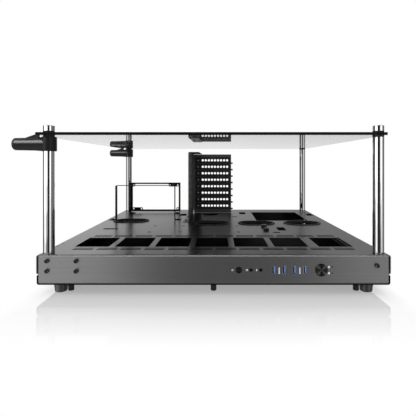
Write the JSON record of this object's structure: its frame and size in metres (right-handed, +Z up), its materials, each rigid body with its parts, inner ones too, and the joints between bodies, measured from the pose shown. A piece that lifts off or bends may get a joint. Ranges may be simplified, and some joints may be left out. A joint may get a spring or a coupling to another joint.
{
  "type": "open air test bench",
  "caption": "Low open bench for trying out computer parts: folded black steel tray on rubber feet, bright posts carrying a glass top, card bracket, power supply cradle and a front port row.",
  "frame": {"origin": "on the floor under the middle of the whole bench's bounding box", "axes": "+X to the right and +Y to the back as seen from the front with the ports, +Z up"},
  "size_m": [0.648, 0.605, 0.2899],
  "materials": {
    "black_steel": "satin",
    "bright_steel": "polished",
    "smoked_glass": "polished",
    "black_rubber": "matte",
    "black_cast": "black satin coat",
    "black_screw": "satin",
    "socket_steel": "satin",
    "blue_plastic": "matte",
    "black_plastic": "matte",
    "button_black": "circular brushed",
    "lens_clear": "gloss",
    "board_laminate": "satin"
  },
  "bodies": {
    "chassis": {"audio_jack_1": "black_plastic", "audio_jack_2": "black_plastic", "bottom_pan": "black_steel", "bracket_screws": "black_screw", "cable_grommet_inner_right": "black_rubber", "cable_grommet_left": "black_rubber", "cable_grommet_middle": "black_rubber", "cable_grommet_outer_right": "black_rubber", "clamp_screws": "black_screw", "deck_panel": "black_steel", "deck_thumbscrews": "black_screw", "expansion_bracket": "black_steel", "foot_front_left": "black_rubber", "foot_front_right": "black_rubber", "foot_rear_left": "black_rubber", "foot_rear_right": "black_rubber", "foot_screws": "black_screw", "glass_panel": "smoked_glass", "io_board": "board_laminate", "io_bracket": "black_steel", "io_screws": "black_screw", "lamp_lenses": "lens_clear", "lower_washers": "black_rubber", "pan_thumbscrews": "black_screw", "post_bolts": "black_screw", "post_cap_front_left": "bright_steel", "post_cap_front_right": "bright_steel", "post_cap_rear_left": "bright_steel", "post_cap_rear_right": "bright_steel", "post_front_left": "bright_steel", "post_front_right": "bright_steel", "post_rear_left": "bright_steel", "post_rear_right": "bright_steel", "power_switch": "black_plastic", "psu_frame": "black_steel", "psu_screws": "black_screw", "psu_strap": "black_steel", "reset_switch": "black_plastic", "slot_cover_1": "black_steel", "slot_cover_2": "black_steel", "slot_cover_3": "black_steel", "slot_cover_4": "black_steel", "slot_cover_5": "black_steel", "slot_cover_6": "black_steel", "slot_cover_7": "black_steel", "slot_cover_8": "black_steel", "slot_screws": "black_screw", "stand_clamp_front": "black_cast", "stand_clamp_rear": "black_cast", "stand_pad_front": "black_rubber", "stand_pad_rear": "black_rubber", "stand_screws": "black_screw", "upper_washers": "black_rubber", "usb_inserts": "blue_plastic", "usb_shell_1": "socket_steel", "usb_shell_2": "socket_steel", "usb_shell_3": "socket_steel", "usb_shell_4": "socket_steel"},
    "power_button": {"power_button": "button_black"},
    "reset_button": {"reset_button": "button_black"}
  },
  "joints": [
    {"name": "power_press", "type": "slide", "parent": "chassis", "child": "power_button", "axis": [0, 1, 0], "range_m": [0, 0.001], "stiffness_N_per_m": 1500},
    {"name": "reset_press", "type": "slide", "parent": "chassis", "child": "reset_button", "axis": [0, 1, 0], "range_m": [0, 0.0008], "stiffness_N_per_m": 1500}
  ]
}
